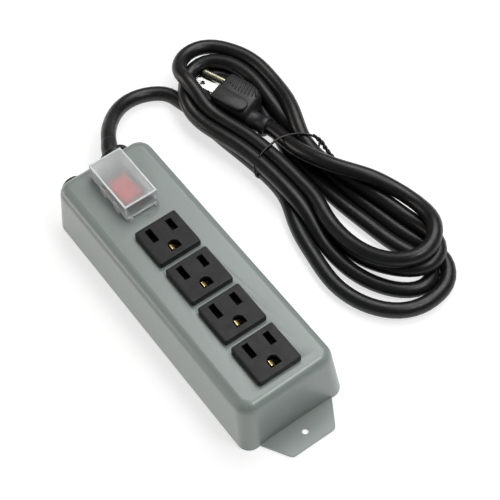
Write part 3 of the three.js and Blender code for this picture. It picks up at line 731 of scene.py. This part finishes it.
def painted_highlight_edge():
    """The guard's edges, which look almost white: a near-white colour painted as the highlight of the
    light that clear edges gather.
    """
    m = Nodes("painted_highlight_edge")
    # Painted highlight: near-white colour for the light the clear edges gather.
    m.link(m.two_tone(m.spread(m.noise(400, 3), 0, 1), (0.80, 0.83, 0.85), (0.93, 0.95, 0.96)),
           m.surface.inputs["Base Color"])
    m.link(m.spread(m.noise(900, 3), 0.14, 0.28), m.surface.inputs["Roughness"])
    m.bump([(m.noise(1600, 2), 0.15)], 0.0001)
    m.set(Transmission_Weight=0.15, IOR=1.45)
    return m.material


def fibre_board():
    """Pressed fibre sheet with short fibres along it."""
    m = Nodes("pressed_fibre")
    fibres = m.noise(700, 5, stretch=(1, 6, 1))
    m.link(m.two_tone(m.spread(fibres, 0, 1), (0.05, 0.045, 0.035), (0.10, 0.09, 0.075)),
           m.surface.inputs["Base Color"])
    m.link(m.spread(m.noise(300, 3), 0.75, 0.95), m.surface.inputs["Roughness"])
    m.bump([(fibres, 0.4)], 0.0002)
    return m.material


FINISHES = {
    "housing_paint": painted_steel(),
    "fibre_board": fibre_board(),
    "outlet_black": moulded("outlet_face", (0.013, 0.013, 0.014), 0.44, grain=2200, variation=0.10,
                            specular=0.26),
    "black_moulding": moulded("switch_moulding", (0.030, 0.030, 0.032), 0.45),
    "gland_black": moulded("nylon_black", (0.010, 0.010, 0.011), 0.34),
    "rocker_red": moulded("rocker_red", (0.80, 0.05, 0.04), 0.30, variation=0.08),
    "guard_clear": clear_guard(),
    "contact_brass": plated("contact_brass", (0.90, 0.70, 0.36), 0.26),
    "nickel": plated("nickel_plate", (0.82, 0.81, 0.78), 0.20),
    "zinc": plated("zinc_plate", (0.62, 0.64, 0.66), 0.34),
    "green_screw": moulded("green_lacquer", (0.03, 0.16, 0.06), 0.35),
    "cord_jacket": moulded("lead_jacket", (0.0075, 0.0075, 0.0080), 0.36, grain=1500,
                           grain_strength=0.10, specular=0.42),
    "plug_black": moulded("plug_vinyl", (0.018, 0.018, 0.020), 0.46, grain=2400, grain_strength=0.2),
    "tie_black": moulded("tie_vinyl", (0.007, 0.007, 0.008), 0.35),
    "wire_black": moulded("wire_black", (0.012, 0.012, 0.012), 0.45),
    "wire_white": moulded("wire_white", (0.62, 0.62, 0.58), 0.45, variation=0.05),
    "wire_green": moulded("wire_green", (0.03, 0.22, 0.06), 0.45),
    "pin_brass": plated("pale_brass", (0.80, 0.74, 0.56), 0.22),
    # near-white painted highlight for the guard's edge strips
    "painted_highlight_edge": painted_highlight_edge(),
}

NODE_FINISHES = {
    "housing_shell": "housing_paint", "base_plate": "housing_paint", "insulator_sheet": "fibre_board",
    "switch_body": "black_moulding", "rocker": "rocker_red", "switch_guard": "guard_clear",
    "breaker_body": "black_moulding", "breaker_nut": "gland_black", "reset_button": "gland_black",
    "strain_relief": "gland_black", "neutral_bus_bar": "nickel", "line_bus_bar": "contact_brass",
    "ground_bus_bar": "contact_brass", "plug_ground_pin": "pin_brass", "ground_screw": "green_screw",
    "wire_line_in": "wire_black", "wire_breaker_to_switch": "wire_black",
    "wire_switch_to_bar": "wire_black",
    "wire_neutral": "wire_white", "wire_lamp_neutral": "wire_white",
    "wire_ground_in": "wire_green", "wire_ground_out": "wire_green",
}
PREFIX_FINISHES = {
    "base_screw": "zinc", "outlet": "outlet_black",
    "switch_terminal": "nickel", "breaker_terminal": "nickel",
}
EDGE_WIDTHS = {
    "base_plate": 0.0003, "switch_guard": 0.0002, "switch_body": 0.0003, "rocker": 0.0004,
    "strain_relief": 0.0004, "breaker_nut": 0.0003, "reset_button": 0.0003, "plug_ground_pin": 0.0001,
    "outlet_1": 0.0003, "outlet_2": 0.0003, "outlet_3": 0.0003, "outlet_4": 0.0003,
}
WELD_REACH = 0.00001


def finish_of(node):
    """The finish of a CAD node, by its name or the start of its name."""
    if node in NODE_FINISHES:
        return FINISHES[NODE_FINISHES[node]]
    return next(FINISHES[finish] for start, finish in PREFIX_FINISHES.items() if node.startswith(start))


def dress(piece, material):
    piece.data.materials.clear()
    piece.data.materials.append(material)


for node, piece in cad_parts.items():
    if piece.hide_render:
        continue
    dress(piece, finish_of(node))
    weld = piece.modifiers.new("joined_corners", "WELD")
    weld.merge_threshold = WELD_REACH
    if node in EDGE_WIDTHS:
        add_bevel(piece, EDGE_WIDTHS[node])
    with bpy.context.temp_override(object=piece, active_object=piece, selected_objects=[piece]):
        bpy.ops.mesh.customdata_custom_splitnormals_clear()
    piece.data.shade_smooth()
    smooth = piece.modifiers.new("normals", "WEIGHTED_NORMAL")
    smooth.keep_sharp = True

ADDED_FINISHES = (
    ("cord_jacket", [mains_lead]),
    ("gland_black", [lead_relief]),
    ("plug_black", [plug_moulding, plug_tongue, plug_grip]),
    ("nickel", [blade_line, blade_neutral]),
    ("contact_brass", contact_pieces),
    # the guard's edge strips get the near-white painted highlight
    ("painted_highlight_edge", guard_highlight_pieces),
    ("tie_black", [tie_loop, *tie_ends]),
)
for finish, dressed in ADDED_FINISHES:
    for piece in dressed:
        dress(piece, FINISHES[finish])

# ---------------------------------------------------------------- floor and lights
FLOOR_HALF = 6.0
FLOOR_SUNK = 0.0001
floor_mesh = bpy.data.meshes.new("floor")
floor_mesh.from_pydata(
    [(-FLOOR_HALF, -FLOOR_HALF, 0), (FLOOR_HALF, -FLOOR_HALF, 0), (FLOOR_HALF, FLOOR_HALF, 0),
     (-FLOOR_HALF, FLOOR_HALF, 0)], [], [(0, 1, 2, 3)])
floor = bpy.data.objects.new("floor", floor_mesh)
floor.location.z = -FLOOR_SUNK
bpy.context.scene.collection.objects.link(floor)
floor_finish = Nodes("pale_floor")
floor_finish.set(Base_Color=(0.42, 0.42, 0.42, 1), Roughness=0.9, Specular_IOR_Level=0.1,
                 Emission_Color=(1, 1, 1, 1), Emission_Strength=0.70)
dress(floor, floor_finish.material)


def softbox(name, place, aim, size, power, color=(1, 1, 1)):
    """A rectangular light at a place, turned to its aim; power in watts."""
    light = bpy.data.lights.new(name, "AREA")
    light.shape = "RECTANGLE"
    light.size, light.size_y = size
    light.energy = power
    light.color = color
    lamp = bpy.data.objects.new(name, light)
    lamp.location = place
    lamp.rotation_mode = "QUATERNION"
    lamp.rotation_quaternion = (Vector(aim) - Vector(place)).to_track_quat("-Z", "Y")
    bpy.context.scene.collection.objects.link(lamp)
    return lamp


softbox("overhead", (-0.35, 0.75, 1.4), (0, 0.05, 0), (1.3, 1.1), 19)
softbox("near", (0.35, 0.23, 0.76), (0.09, 0, 0.03), (0.2, 0.2), 2.0)
softbox("left", (-1.2, -1.3, 0.35), (0, 0, 0), (1.0, 0.5), 8, (1, 0.93, 0.84))

world = bpy.data.worlds.new("studio")
world.use_nodes = True
world.node_tree.nodes["Background"].inputs["Color"].default_value = (1, 1, 1, 1)
world.node_tree.nodes["Background"].inputs["Strength"].default_value = 0.11
bpy.context.scene.world = world
bpy.context.scene.view_settings.view_transform = "Standard"
